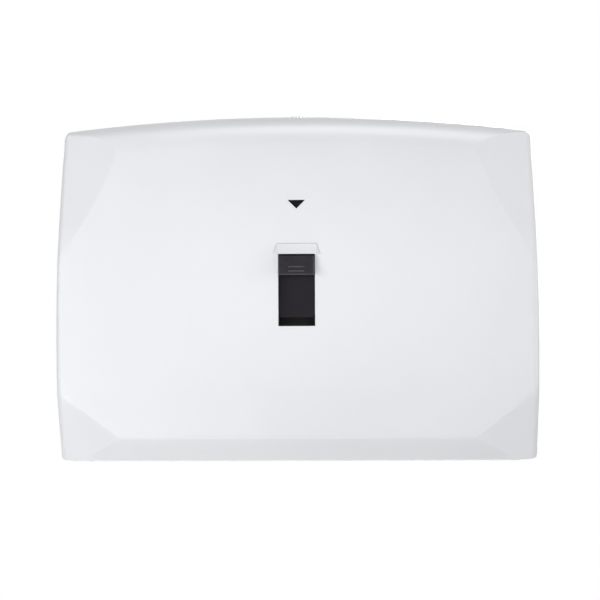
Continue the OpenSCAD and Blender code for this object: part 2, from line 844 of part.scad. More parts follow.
// Clips on the ends of the rod
module rod_clips() {
  clip_x = lug_x + lug_w / 2 + 0.1;
  color("gray") both_sides() difference() {
    bar_x(rod_r + 1.8, clip_x, clip_x + clip_t, -rod_d, rod_z);
    bar_x(rod_r + seat, clip_x - 1, clip_x + clip_t + 1, -rod_d, rod_z);
  }
}

// Flap on its rod, leaning out as it does with no pack behind the cover
module pressure_flap() {
  front = 1;
  back = front + flap_t;
  top = -12;
  knuckle_x0 = knuckle_x - knuckle_w / 2;
  knuckle_x1 = knuckle_x + knuckle_w / 2;
  color("whitesmoke") translate([0, -rod_d, rod_z]) rotate([-flap_lean, 0, 0]) difference() {
    union() {
      block([-flap_w / 2, front, -flap_h], [flap_w / 2, back, top]);
      both_sides() {
        for (x = [flap_w / 6, flap_w / 2 - 6])
          block([x - 1, front + flap_t / 2, -flap_h + 6], [x + 1, back + 1.4, top - 2]);
        bar_x(knuckle_r, knuckle_x0, knuckle_x1, 0, 0);
        block([knuckle_x0, front, top - 4], [knuckle_x1, back + 1, 0]);
      }
    }
    both_sides() bar_x(rod_r + run, knuckle_x0 - 1, knuckle_x1 + 1, 0, 0);
  }
}

// Lowers a piece so that the origin is the middle of the wall screws
module placed() {
  translate([0, 0, -screw_mid_z]) children();
}

placed() back_plate();
placed() front_cover();
placed() mirror([1, 0, 0]) hinge_pin();  // hinge_pin_left
placed() hinge_pin();  // hinge_pin_right
placed() lock_barrel();
placed() lock_nut();
placed() lock_plug();
placed() lock_cam();
placed() cam_screw();
placed() lock_strike();
placed() strike_screws();
placed() slide_track();
placed() track_screws();
placed() slide_carriage();
placed() lever_button();
placed() foot_block();
placed() feed_pad();
placed() foot_screw();
placed() return_spring(-1);  // return_spring_left
placed() return_spring(1);  // return_spring_right
placed() press_spring(-1);  // press_spring_left
placed() press_spring(1);  // press_spring_right
placed() pressure_flap();
placed() flap_rod();
placed() rod_clips();
placed() flap_spring(-1);  // flap_spring_left
placed() flap_spring(1);  // flap_spring_right
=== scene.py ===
# %% [markdown]
# # A wall dispenser for paper seat covers
# The real object is a white moulded cover on a flat wall plate. A black finger button in the
# middle presses in and slides down, and a rubber pad behind it drags one paper cover out of the
# gap at the bottom. The solids of every piece come from the CAD model, which is loaded first and
# stays as it is. This lesson dresses them: the cover is laid again with soft creases, edges are
# rounded as a mould or a press rounds them, the springs are wound, and each material gets its grain.

# %% Load the CAD model
import math

import bpy
import numpy as np
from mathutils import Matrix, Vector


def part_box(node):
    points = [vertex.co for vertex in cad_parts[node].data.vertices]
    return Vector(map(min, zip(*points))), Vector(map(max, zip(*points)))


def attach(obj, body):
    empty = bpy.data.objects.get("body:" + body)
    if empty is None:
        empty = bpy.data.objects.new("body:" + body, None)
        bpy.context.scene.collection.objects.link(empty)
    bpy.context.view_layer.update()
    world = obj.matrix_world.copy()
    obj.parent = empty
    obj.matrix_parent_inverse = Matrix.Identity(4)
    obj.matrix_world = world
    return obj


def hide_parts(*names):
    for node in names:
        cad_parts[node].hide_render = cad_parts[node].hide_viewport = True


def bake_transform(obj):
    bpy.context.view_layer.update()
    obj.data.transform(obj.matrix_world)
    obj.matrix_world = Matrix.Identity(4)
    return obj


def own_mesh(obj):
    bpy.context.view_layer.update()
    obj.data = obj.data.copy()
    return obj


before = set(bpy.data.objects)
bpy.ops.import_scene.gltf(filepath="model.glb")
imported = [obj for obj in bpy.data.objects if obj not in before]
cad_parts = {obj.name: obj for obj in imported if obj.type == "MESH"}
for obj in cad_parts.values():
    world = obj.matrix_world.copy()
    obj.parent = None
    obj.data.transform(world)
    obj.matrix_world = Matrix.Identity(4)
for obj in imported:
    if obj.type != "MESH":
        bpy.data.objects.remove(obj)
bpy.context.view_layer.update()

# %% [markdown]
# ## The camera, the light and the floor
# The photograph was taken from far away, level with the middle of the cover, on a white ground.
# A long lens does the same here. Large soft panels stand in front, above, below and to the right,
# and two small ones close by on the left, so the face is brightest there and the faces that look
# up, down or right come out a little darker. One more lights the wall plate from behind. The white
# room shows in the lens and in reflections but gives little light, so the shading stays.
# The floor ends before the lens can see it, because the object hangs high above it.

# %% Camera
SENSOR = 36.0
FOCAL_PX, PHOTO_PX = 2782.0, 600.0
SHIFT_PX = (0.9, -11.2)
FAR, EYE_Z = 2.6, 0.008
YAW, ROLL = math.radians(1.64), math.radians(0.28)

camera_data = bpy.data.cameras.new("camera")
camera_data.sensor_width = SENSOR
camera_data.lens = SENSOR * FOCAL_PX / PHOTO_PX
camera_data.shift_x = SHIFT_PX[0] / PHOTO_PX
camera_data.shift_y = SHIFT_PX[1] / PHOTO_PX
camera = bpy.data.objects.new("camera", camera_data)
camera.location = (FAR * math.sin(YAW), -FAR * math.cos(YAW), EYE_Z)
camera.rotation_euler = (math.radians(90), ROLL, YAW)
bpy.context.scene.collection.objects.link(camera)
bpy.context.scene.camera = camera
print("lens", round(camera_data.lens, 1), "mm")

# %% Soft panels
def soft_panel(name, place, size, power):
    """A square area light at a place, facing the object."""
    bpy.ops.object.light_add(type="AREA", location=place)
    lamp = bpy.context.object
    lamp.name = name
    lamp.data.shape = "SQUARE"
    lamp.data.size = size
    lamp.data.energy = power
    lamp.rotation_euler = lamp.location.to_track_quat("Z", "Y").to_euler()
    return lamp


PANELS = [
    ("front_panel", (0, -3, 0), 1.6, 35.5),
    ("top_panel", (0.2, -0.6, 2.9), 1.6, 46),
    ("under_panel", (-0.4, -0.9, -2.85), 1.6, 28),
    ("right_panel", (2.9, -0.8, 0), 1.6, 47.5),
    ("left_panel", (-1.0, -0.9, 0.05), 0.5, 5.3),
    ("corner_panel", (-0.9, -1.6, -0.9), 0.5, 11.5),
    ("back_panel", (0.9, 2.8, 0.8), 1.6, 70),
]
bpy.ops.object.select_all(action="DESELECT")
for name, place, size, power in PANELS:
    soft_panel(name, place, size, power)
print("lights:", [panel[0] for panel in PANELS])

# %% White room
ROOM_GLOW = 0.05

room = bpy.data.worlds.new("room")
room.use_nodes = True
tree = room.node_tree
glow = tree.nodes["Background"]
glow.inputs["Color"].default_value = (1, 1, 1, 1)
seen = tree.nodes.new("ShaderNodeLightPath")
white = tree.nodes.new("ShaderNodeMath")
white.operation = "MAXIMUM"
strength = tree.nodes.new("ShaderNodeMapRange")
strength.inputs["To Min"].default_value = ROOM_GLOW
strength.inputs["To Max"].default_value = 1.0
tree.links.new(seen.outputs["Is Camera Ray"], white.inputs[0])
tree.links.new(seen.outputs["Is Glossy Ray"], white.inputs[1])
tree.links.new(white.outputs["Value"], strength.inputs["Value"])
tree.links.new(strength.outputs["Result"], glow.inputs["Strength"])
bpy.context.scene.world = room
bpy.context.scene.view_settings.view_transform = "Standard"
print("room glow for the object:", ROOM_GLOW)

# %% [markdown]
# ## Small tools for the work
# A modeller keeps a few habits at hand: pick one object and nothing else, pick faces by where they
# are, apply a modifier once it is right. Each habit is a short function. Sizes are in millimetres
# and heights are counted from the bottom edge of the case, as on the drawing of the part; `at`
# turns such a place into Blender's metres, and `drawn` gives the place of a vertex on the drawing.

# %% Places
MM = 0.001
LOWERED = 150.0


def at(x, y, z):
    """A place on the drawing, in metres in the frame of the CAD model."""
    return (x * MM, y * MM, (z - LOWERED) * MM)


def drawn(vertex):
    """A vertex's place on the drawing."""
    return vertex.co.x / MM, vertex.co.y / MM, vertex.co.z / MM + LOWERED


def ends(piece, edge):
    """The places of an edge's two ends on the drawing."""
    return [drawn(piece.data.vertices[v]) for v in edge.vertices]


# %% Picking and moving
KINDS = {"vertices": "VERT", "edges": "EDGE", "polygons": "FACE"}


def only(piece):
    """Selects one object, and nothing else."""
    bpy.ops.object.select_all(action="DESELECT")
    piece.select_set(True)
    bpy.context.view_layer.objects.active = piece
    return piece


def settle(piece):
    """Puts an object's place, turn and size into its mesh."""
    only(piece)
    bpy.ops.object.transform_apply(location=True, rotation=True, scale=True)
    return piece


def everything(item):
    return True


def pick(piece, kind, test):
    """Selects the vertices, edges or faces of a mesh that pass a test, and opens it."""
    only(piece)
    bpy.ops.object.mode_set(mode="EDIT")
    bpy.ops.mesh.select_mode(type=KINDS[kind])
    bpy.ops.mesh.select_all(action="DESELECT")
    bpy.ops.object.mode_set(mode="OBJECT")
    for item in getattr(piece.data, kind):
        item.select = bool(test(item))
    bpy.ops.object.mode_set(mode="EDIT")


def done():
    bpy.ops.object.mode_set(mode="OBJECT")


def widen(piece, test, share, centre):
    """Stretches the vertices that pass a test sideways from a centre."""
    pick(piece, "vertices", test)
    bpy.ops.transform.resize(value=(share, 1, 1), center_override=centre)
    done()


def shift(piece, test, y=0.0, z=0.0):
    """Moves the vertices that pass a test, in millimetres."""
    pick(piece, "vertices", test)
    bpy.ops.transform.translate(value=(0, y * MM, z * MM))
    done()


def finish_with(piece, kind, **settings):
    """Adds a modifier, sets it and applies it."""
    only(piece)
    modifier = piece.modifiers.new(kind.lower(), kind)
    for name, value in settings.items():
        setattr(modifier, name, value)
    bpy.ops.object.modifier_apply(modifier=modifier.name)
    return piece


# %% Blocks and bars
TURNS = {"x": (0, math.radians(90), 0), "y": (math.radians(90), 0, 0), "z": (0, 0, 0)}


def block(name, low, high):
    """A box between two corners of the drawing."""
    low, high = np.array(at(*low)), np.array(at(*high))
    bpy.ops.object.select_all(action="DESELECT")
    bpy.ops.mesh.primitive_cube_add(size=1, location=(low + high) / 2, scale=high - low)
    piece = bpy.context.object
    piece.name = name
    return settle(piece)


def bar(name, axis, radius, start, end, across, sides=48):
    """A round bar along an axis, from start to end, through the two other coordinates."""
    middle = (start + end) / 2
    places = {"x": (middle, *across), "y": (across[0], middle, across[1]), "z": (*across, middle)}
    bpy.ops.object.select_all(action="DESELECT")
    bpy.ops.mesh.primitive_cylinder_add(
        vertices=sides, radius=radius * MM, depth=abs(end - start) * MM,
        location=at(*places[axis]), rotation=TURNS[axis])
    piece = bpy.context.object
    piece.name = name
    return settle(piece)


# %% Cuts and rounded edges
CLOSE = 0.004


def combine(piece, tool, operation):
    """Cuts a tool out of a piece or fuses it on, and throws the tool away."""
    finish_with(piece, "BOOLEAN", operation=operation, object=tool, solver="EXACT")
    bpy.data.objects.remove(tool)
    return piece


def cut(piece, tool):
    return combine(piece, tool, "DIFFERENCE")


def fuse(piece, tool):
    return combine(piece, tool, "UNION")


def round_edges(piece, width, segments=2, angle=32):
    """Rounds each edge that is sharper than the angle, as a mould does."""
    return finish_with(piece, "BEVEL", width=width * MM, segments=segments, limit_method="ANGLE",
                       angle_limit=math.radians(angle))


def close_up(piece):
    """Merges vertices that all but touch, so that no sliver or fold is left."""
    pick(piece, "vertices", everything)
    bpy.ops.mesh.remove_doubles(threshold=CLOSE * MM)
    bpy.ops.mesh.dissolve_degenerate(threshold=CLOSE * MM)
    done()
    return piece


def smooth(piece, angle=35):
    only(piece)
    bpy.ops.object.shade_smooth_by_angle(angle=math.radians(angle))
    return piece


def join(main, *others):
    """Joins pieces of one moulding into one object."""
    only(main)
    for other in others:
        other.select_set(True)
    bpy.ops.object.join()
    return main


def report(piece):
    corners = np.array([v.co for v in piece.data.vertices])
    size = (corners.max(0) - corners.min(0)) * 1000
    print(piece.name, len(piece.data.polygons), "faces,", np.round(size, 1), "mm")
    return piece


# %% [markdown]
# ## Writing materials as sums
# A material is a graph of nodes, which is slow to read as code. The small class below wraps a
# socket, so that `1 - mask * 0.3` adds its Math nodes by itself. `Finish` starts a material with
# one Principled shader and makes every other node with one method.

# %% Sockets
class Socket:
    """A node's output that can be used in sums."""

    def __init__(self, finish, output):
        self.finish, self.output = finish, output

    def maths(self, operation, first, second=None):
        values = {0: first} if second is None else {0: first, 1: second}
        return self.finish.node("ShaderNodeMath", {"operation": operation}, values)

    def __add__(self, other):
        return self.maths("ADD", self, other)

    def __sub__(self, other):
        return self.maths("SUBTRACT", self, other)

    def __rsub__(self, other):
        return self.maths("SUBTRACT", other, self)

    def __mul__(self, other):
        return self.maths("MULTIPLY", self, other)

    __radd__, __rmul__ = __add__, __mul__


# %% Materials with one shader
class Finish:
    """A material with one Principled shader."""

    def __init__(self, name, **constants):
        self.material = bpy.data.materials.new(name)
        self.material.use_nodes = True
        self.tree = self.material.node_tree
        self.shader = self.tree.nodes["Principled BSDF"]
        for socket, value in constants.items():
            self.shader.inputs[socket.replace("_", " ")].default_value = value
        self.place = self.node("ShaderNodeTexCoord", {}, {}, "Object")

    def node(self, kind, settings, values, output=0):
        """Adds a node: its settings first, then the values or links of its sockets."""
        node = self.tree.nodes.new(kind)
        for name, value in settings.items():
            setattr(node, name, value)
        for name, value in values.items():
            self.feed(node.inputs[name], value)
        return Socket(self, node.outputs[output])

    def feed(self, target, value):
        if isinstance(value, Socket):
            self.tree.links.new(value.output, target)
        else:
            target.default_value = value

    def noise(self, scale, detail=3.0, stretch=(1, 1, 1)):
        """Noise over the object's own coordinates, in features per metre."""
        place = self.node("ShaderNodeMapping", {}, {"Vector": self.place, "Scale": stretch})
        return self.node("ShaderNodeTexNoise", {}, {"Vector": place, "Scale": scale, "Detail": detail})

    def ramp(self, value, low, high, to_low=0.0, to_high=1.0):
        """Maps a range of values to another, and holds it there."""
        return self.node("ShaderNodeMapRange", {"clamp": True}, {
            "Value": value, "From Min": low, "From Max": high, "To Min": to_low, "To Max": to_high})

    def mix(self, factor, first, second):
        """Mixes two colours."""
        return self.node("ShaderNodeMix", {"data_type": "RGBA"},
                         {0: factor, 6: (*first, 1) if isinstance(first, tuple) else first,
                          7: (*second, 1) if isinstance(second, tuple) else second}, 2)

    def axis(self, name):
        """One coordinate of the place."""
        return self.node("ShaderNodeSeparateXYZ", {}, {0: self.place}, name)

    def bump(self, height, strength, distance):
        """Raises the surface by a height."""
        normal = self.node("ShaderNodeBump", {}, {
            "Height": height, "Strength": strength, "Distance": distance})
        self.feed(self.shader.inputs["Normal"], normal)

    def set(self, **sockets):
        for name, value in sockets.items():
            self.feed(self.shader.inputs[name.replace("_", " ")], value)
        return self.material


# %% [markdown]
# ## Finishes
# The cover is glossy white plastic from a polished mould: very even, with the faint orange peel
# and the slow changes of tone that thick and thin places leave. The wall plate is a duller grade of
# the same white. The flap is the same dull plastic in mid grey, which is painted shade for the dim
# chamber seen through the slot. The lever and its slide are black plastic with a fine spark texture.
# Pins, screws and springs are zinc on steel.

# %% White plastics
def moulded_white():
    finish = Finish("moulded_white", Specular_IOR_Level=0.42)
    cloud = finish.noise(9, 3)
    speck = finish.noise(620, 2)
    tone = finish.mix(finish.ramp(cloud, 0.35, 0.7), (0.653, 0.66, 0.68), (0.677, 0.685, 0.704))
    rough = finish.ramp(cloud, 0.3, 0.7, 0.34, 0.4) + (speck - 0.5) * 0.05
    finish.bump(finish.noise(140, 3) + speck * 0.4, 0.05, 0.0006)
    return finish.set(Base_Color=tone, Roughness=rough)


def dull_plastic(name, dark, light):
    finish = Finish(name, Specular_IOR_Level=0.4)
    cloud = finish.noise(14, 4)
    grain = finish.noise(1500, 3)
    tone = finish.mix(finish.ramp(cloud, 0.3, 0.72), dark, light)
    finish.bump(grain, 0.16, 0.0003)
    return finish.set(Base_Color=tone, Roughness=finish.ramp(grain, 0.3, 0.7, 0.5, 0.62))


WHITE = moulded_white()
DULL_WHITE = dull_plastic("dull_white", (0.66, 0.662, 0.66), (0.705, 0.707, 0.71))
# The flap's mid grey is painted shade: it darkens the chamber that is seen through the slot.
FLAP_PAINTED_SHADE = dull_plastic("flap_painted_shade", (0.36, 0.362, 0.365), (0.42, 0.422, 0.425))


# %% Black plastics, rubber and ink
def black_plastic(name, dark, light, rough, scale, height, shine):
    finish = Finish(name, Specular_IOR_Level=shine)
    cloud = finish.noise(60, 4)
    grain = finish.noise(scale, 3)
    tone = finish.mix(finish.ramp(cloud, 0.3, 0.7), dark, light)
    finish.bump(grain, height, 0.0003)
    return finish.set(
        Base_Color=tone,
        Roughness=finish.ramp(grain, 0.3, 0.7, rough - 0.05, rough + 0.05)
        + finish.ramp(cloud, 0.35, 0.65, -0.04, 0.04))


BUTTON_BLACK = black_plastic(
    "button_black", (0.0055, 0.004, 0.0075), (0.0085, 0.007, 0.0105), 0.3, 1800, 0.03, 0.33)
SLIDE_BLACK = black_plastic(
    "slide_black", (0.008, 0.0065, 0.0105), (0.012, 0.01, 0.015), 0.5, 1500, 0.2, 0.1)
# Grey rubber for the feed pad; the same finish colours the painted-shade strip on the flap.
RUBBER = black_plastic(
    "pad_rubber_grey", (0.072, 0.07, 0.074), (0.1, 0.098, 0.102), 0.75, 2600, 0.4, 0.3)
INK = black_plastic(
    "print_ink", (0.003, 0.003, 0.0035), (0.006, 0.006, 0.007), 0.6, 3000, 0.05, 0.06)
print("black finishes:", [f.name for f in (BUTTON_BLACK, SLIDE_BLACK, RUBBER, INK)])


# %% Metals
def plated(name, dark, light, rough, stretch, scratch):
    finish = Finish(name, Metallic=1.0)
    cloud = finish.noise(160, 4)
    lines = finish.noise(900, 3, stretch)
    tone = finish.mix(finish.ramp(cloud, 0.3, 0.7), dark, light)
    finish.bump(lines, scratch, 0.0002)
    return finish.set(Base_Color=tone, Roughness=finish.ramp(lines, 0.3, 0.7, rough - 0.06, rough + 0.06)
                      + finish.ramp(cloud, 0.4, 0.6, 0.0, 0.05))


CHROME = plated("lock_chrome", (0.62, 0.62, 0.63), (0.7, 0.7, 0.71), 0.16, (1, 1, 0.2), 0.05)
ZINC = plated("zinc_steel", (0.5, 0.5, 0.51), (0.62, 0.62, 0.61), 0.33, (0.15, 1, 1), 0.12)
SPRING_STEEL = plated("spring_steel", (0.42, 0.42, 0.42), (0.55, 0.55, 0.54), 0.28, (1, 1, 1), 0.08)
print("finishes:", len(bpy.data.materials))


def dress(piece, finish, body, slot, *replaced):
    """Gives a piece its finish, the body that it moves with and the CAD node that it stands for."""
    piece.data.materials.clear()
    piece.data.materials.append(finish)
    if body:
        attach(piece, body)
    if replaced:
        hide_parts(*replaced)
    return report(piece)


# %% [markdown]
# ## The form of the cover
# The cover's long section is a slow crown that rolls into the top. It is swept round a large ring
# that leans back, so the face and the top edge both fall away to the sides. Flat facets cut the
# four corners and a bevel runs along the bottom. On a moulding these forms meet in soft creases.
# A boolean would leave them sharp and cross them with stray edges, so the skin is laid as one grid
# whose lines follow the creases, and each cut presses the grid back with a rounded step.

# %% Values of the form
CASE_W, CASE_H, CASE_D, COVER_T = 440.0, 316.0, 80.0, 2.5
WIDEST_Z, SIDE_DRAW, TOP_FALL, FACE_FALL = 90.0, 6.0, 12.5, 7.0
CROWN_R, BELLY_Z, ROLL_R = 900.0, 150.0, 32.0
BEVEL_Z, BEVEL_RUN, LIP_H = 22.8, 22.0, 0.8
HALF_W, CORNER_Z, WALL_GAP = CASE_W / 2, CASE_H - TOP_FALL, 1.0
SIDE_ROUND, FOOT_ROUND, CREASE, CREASE_RISE = 5.0, 2.5, 1.8, 0.42


def arc_radius(half_chord, rise):
    return (half_chord**2 + rise**2) / (2 * rise)


SIDE_R = arc_radius(CORNER_Z - WIDEST_Z, SIDE_DRAW)


def half_width(z):
    return HALF_W - SIDE_R + math.sqrt(SIDE_R**2 - (z - WIDEST_Z) ** 2)


LEAN = math.atan2(FACE_FALL, TOP_FALL)
RING_R = arc_radius(half_width(CORNER_Z), math.hypot(FACE_FALL, TOP_FALL))
ROLL_Z = CASE_H - ROLL_R
ROLL_Y = CROWN_R - CASE_D - math.sqrt((CROWN_R - ROLL_R) ** 2 - (ROLL_Z - BELLY_Z) ** 2)
ROLL_START = math.asin((ROLL_Z - BELLY_Z) / (CROWN_R - ROLL_R))
print("ring radius", round(RING_R), "mm, side radius", round(SIDE_R), "mm")


# %% The swept surface
def crown_y(z):
    """Depth of the crown at the middle of the cover."""
    return CROWN_R - CASE_D - math.sqrt(CROWN_R**2 - (z - BELLY_Z) ** 2)


def fall(x, y, z):
    """How far the leaning ring has carried a point of the middle section at x."""
    reach = RING_R - (y + CASE_D) * math.sin(LEAN) + (z - CASE_H) * math.cos(LEAN)
    return reach - math.sqrt(reach**2 - x**2)


def swept(x, y, z):
    carried = fall(x, y, z)
    return y + carried * math.sin(LEAN), z - carried * math.cos(LEAN)


def face_station(x, z):
    """Height on the middle section that the ring carries to the height z at x."""
    start = z
    for _ in range(5):
        start = z + fall(x, crown_y(start), start) * math.cos(LEAN)
    return start


def face_y(x, z):
    start = face_station(x, z)
    return swept(x, crown_y(start), start)[0]


SLOPE, CROWN_SLOPE = BEVEL_RUN / (BEVEL_Z - LIP_H), 0.14
BEVEL_RING_R = RING_R / (math.sin(LEAN) - (BELLY_Z - BEVEL_Z) / CROWN_R * math.cos(LEAN))
BEVEL_TOP_Y = crown_y(BEVEL_Z)
BEVEL_LOW_Y = BEVEL_TOP_Y + BEVEL_RUN


def bevel_y(x, z):
    radius = BEVEL_RING_R - (BEVEL_Z - max(z, LIP_H)) * SLOPE
    return BEVEL_TOP_Y + BEVEL_RING_R - math.sqrt(radius**2 - x**2)


# %% Facets and soft steps
def plane(a, b, c):
    """A point and the outward normal of the plane through three points."""
    a, b, c = map(np.array, (a, b, c))
    normal = np.cross(b - a, c - a)
    normal = normal / np.linalg.norm(normal)
    return a, normal if normal[1] < 0 else -normal


UPPER_SIDE_Z, UPPER_FACE_X, UPPER_FACE_Z = 184, 165, ROLL_Z - TOP_FALL / 4
LOWER_SIDE_Z, LOWER_FACE_X, LOWER_FOOT_X = 64, 164, 200
UPPER = plane(
    (HALF_W, face_y(HALF_W, UPPER_SIDE_Z), UPPER_SIDE_Z),
    (UPPER_FACE_X, face_y(UPPER_FACE_X, UPPER_FACE_Z), UPPER_FACE_Z),
    (half_width(CORNER_Z) - 3, -45, CORNER_Z - 2))
LOWER = plane(
    (half_width(LOWER_SIDE_Z), face_y(HALF_W, LOWER_SIDE_Z), LOWER_SIDE_Z),
    (LOWER_FACE_X, face_y(LOWER_FACE_X, BEVEL_Z), BEVEL_Z),
    (LOWER_FOOT_X, BEVEL_LOW_Y + LOWER_FOOT_X**2 / (2 * BEVEL_RING_R), 2))
print("facet normals:", np.round(UPPER[1], 3), np.round(LOWER[1], 3))


def soft_step(value, width):
    """0 below, the value above, and a round between."""
    if value <= -width:
        return 0.0
    if value >= width:
        return value
    return (value + width) ** 2 / (4 * width)


def outside(point, tilt, facet):
    """How far a point lies outside a facet, measured along the section's own normal."""
    across = np.array([0.0, -math.cos(tilt), math.sin(tilt)])
    facing = across @ facet[1]
    if facing < 0.1:
        return -CASE_W, across
    return float((point - facet[0]) @ facet[1] / facing), across


# %% Rows of the grid
LEVEL_Z, BLEND_H = 30, 200


def level_share(height):
    """1 where a row stays level, as along the bevel, and 0 where it follows the top edge."""
    t = min(max((height - LEVEL_Z) / BLEND_H, 0), 1)
    return 1 - t * t * (3 - 2 * t)


def row_point(row, x):
    """The swept surface of one row at x: its place, and the tilt of the section there."""
    kind, value = row
    if kind == "front":
        lift = fall(x, crown_y(value), value) * math.cos(LEAN)
        z = value - (1 - level_share(value)) * lift
        start = face_station(x, z)
        y = swept(x, crown_y(start), start)[0]
        y += soft_step(bevel_y(x, z) - y, CREASE * (SLOPE - CROWN_SLOPE))
        return np.array([x, y, z]), math.asin((start - BELLY_Z) / CROWN_R)
    if kind == "roll":
        y, z = swept(x, ROLL_Y - ROLL_R * math.cos(value), ROLL_Z + ROLL_R * math.sin(value))
        return np.array([x, y, z]), value
    back = -WALL_GAP - fall(x, -WALL_GAP, CASE_H) * math.sin(LEAN)
    y, z = swept(x, ROLL_Y + value * (back - ROLL_Y), CASE_H)
    return np.array([x, y, z]), math.pi / 2


def skin_point(row, x, side):
    """A point of the skin, with the facets and the rounded side pressed into it."""
    point, tilt = row_point(row, x)
    for facet in (UPPER, LOWER):
        depth, across = outside(point, tilt, facet)
        point = point - across * soft_step(depth, CREASE_RISE)
    over = x - (side - SIDE_ROUND)
    if over > 0:
        point = point - across * (SIDE_ROUND - math.sqrt(max(SIDE_ROUND**2 - over**2, 0)))
    return point


def side_of(row):
    """Where a row reaches the side of the case, which is rounded at its foot."""
    x = HALF_W
    for _ in range(6):
        z = row_point(row, x)[0][2]
        x = half_width(z)
    below = max(FOOT_ROUND - z, 0)
    return x - FOOT_ROUND + math.sqrt(FOOT_ROUND**2 - below**2)


FIRST_CREASE_X, FACET_LEAST = 120.0, 9


def crease_of(row, side):
    """Where a row crosses a facet's crease, or a place near the side if it doesn't."""
    last = side - SIDE_ROUND - FACET_LEAST

    def over(x):
        point, tilt = row_point(row, x)
        return max(outside(point, tilt, UPPER)[0], outside(point, tilt, LOWER)[0])

    if over(last) <= 0:
        return last
    low, high = FIRST_CREASE_X, last
    for _ in range(40):
        middle = (low + high) / 2
        low, high = (low, middle) if over(middle) > 0 else (middle, high)
    return low


heights = [0, 0.4, 0.8, 1.4, 2.4, 3.6, 7, 12, 17, 19.6, 21, 21.9, 22.8, 23.7, 24.6, 26, 29]
heights += list(np.linspace(34, ROLL_Z, 43)[:-1])
rows = [("front", h) for h in heights]
rows += [("roll", a) for a in np.linspace(ROLL_START, math.pi / 2, 19)]
rows += [("top", t) for t in (0.2, 0.45, 0.7, 1.0)]
print("rows:", len(rows))

# %% [markdown]
# Each row gets the same number of columns: even ones up to the crease, a close bundle over the
# crease, even ones on the facet, and a fan round the side edge. The left half mirrors the right.
# The sides are then drawn straight back to the wall. At the top they are almost there already, so
# the thin strip that this leaves is merged away. A modifier gives the skin its thickness, inwards.

# %% Lay the grid
INNER, OUTER = 22, 5
BUNDLE = (-3.4, -1.8, -1.2, -0.6, 0.0, 0.6, 1.2, 1.8, 3.4)
FAN = (15, 30, 45, 60, 75, 90)


def row_columns(row):
    """The points of one row, from the middle of the cover to its side."""
    side = side_of(row)
    crease = crease_of(row, side)
    columns = list(np.linspace(0, crease + BUNDLE[0], INNER + 1)[:-1])
    columns += [crease + b for b in BUNDLE]
    columns += list(np.linspace(crease + BUNDLE[-1], side - SIDE_ROUND, OUTER + 1)[1:])
    columns += [side - SIDE_ROUND + SIDE_ROUND * math.sin(math.radians(a)) for a in FAN]
    return [skin_point(row, x, side) for x in columns]


half = np.array([row_columns(row) for row in rows])
mirrored = half[:, :0:-1] * (-1, 1, 1)
skin = np.concatenate([mirrored, half], axis=1)
skin = (skin - (0, 0, LOWERED)) * MM
ROWS, COLUMNS = skin.shape[:2]

bpy.ops.object.select_all(action="DESELECT")
bpy.ops.mesh.primitive_grid_add(x_subdivisions=COLUMNS - 1, y_subdivisions=ROWS - 1, size=1)
cover = bpy.context.object
cover.name = "cover_shell"
cover.data.vertices.foreach_set("co", skin.astype(np.float32).ravel())
cover.data.update()
print("grid", ROWS, "by", COLUMNS, "matches:", len(cover.data.vertices) == ROWS * COLUMNS)

# %% Draw the sides back to the wall
pick(cover, "edges", lambda e: all(v % COLUMNS in (0, COLUMNS - 1) for v in e.vertices))
bpy.ops.mesh.extrude_region_move()
bpy.ops.transform.resize(value=(1, 0, 1), center_override=at(0, -WALL_GAP, LOWERED))
done()
STRIP_H, STRIP_W = 0.6, 0.8
top_z = cover.data.vertices[ROWS * COLUMNS - 1].co.z
pick(cover, "vertices", lambda v: v.index >= ROWS * COLUMNS and v.co.z > top_z - STRIP_H * MM)
bpy.ops.mesh.remove_doubles(threshold=STRIP_W * MM)
bpy.ops.mesh.select_all(action="SELECT")
bpy.ops.mesh.remove_doubles(threshold=1e-6)
bpy.ops.mesh.normals_make_consistent(inside=False)
done()
outward = sum(p.normal[1] < -0.5 for p in cover.data.polygons)
print("faces that look forward:", outward, "of", len(cover.data.polygons))
finish_with(cover, "SOLIDIFY", thickness=COVER_T * MM, offset=-1, use_even_offset=False)

# %% [markdown]
# ## Hood, slot and collar
# A short hood of the same plastic shelters the button. It is a block whose foot is drawn out and
# flared, which gives the sloping roof and the slanted cheeks. A shallow groove with slanted walls
# is cut round its place first, and sets it off from the face as a thin grey line. The slot is cut
# through the face with a block, and a collar behind it guides the slide.

# %% Values of the hood
SLOT_W, SLOT_Z, SLOT_H = 33.4, 124.2, 65.4
SLOT_TOP = SLOT_Z + SLOT_H
HOOD_W, HOOD_H, HOOD_PROUD, HOOD_STEP, HOOD_ROUND = 35.8, 9.5, 4.8, 0.9, 0.9
CHEEK_FOOT, CHEEK_TOP = 4.4, 1.8
GROOVE_D, GROOVE_RISE, GROOVE_MARGIN, GROOVE_TAPER = 1.2, 2.6, 2.3, 2.2
HOOD_TOP, HOOD_MID = SLOT_TOP + HOOD_H, SLOT_TOP + HOOD_H / 2
print("hood from", round(SLOT_TOP, 1), "to", round(HOOD_TOP, 1), "mm")

# %% Groove round the hood
groove_y = face_y(0, HOOD_MID)
groove_half = HOOD_W / 2 + GROOVE_MARGIN
groove_middle = at(0, groove_y, HOOD_MID)
groove = block("groove", (-groove_half, groove_y - 1, SLOT_TOP),
               (groove_half, groove_y + GROOVE_D, HOOD_TOP - 0.4))
widen(groove, lambda v: drawn(v)[2] > HOOD_MID, 1 - GROOVE_TAPER / groove_half, groove_middle)
widen(groove, lambda v: drawn(v)[1] < groove_y, 1 + GROOVE_RISE / groove_half, groove_middle)
shift(groove, lambda v: drawn(v)[1] < groove_y and drawn(v)[2] > HOOD_MID, z=GROOVE_RISE)
report(groove)
cut(cover, groove)

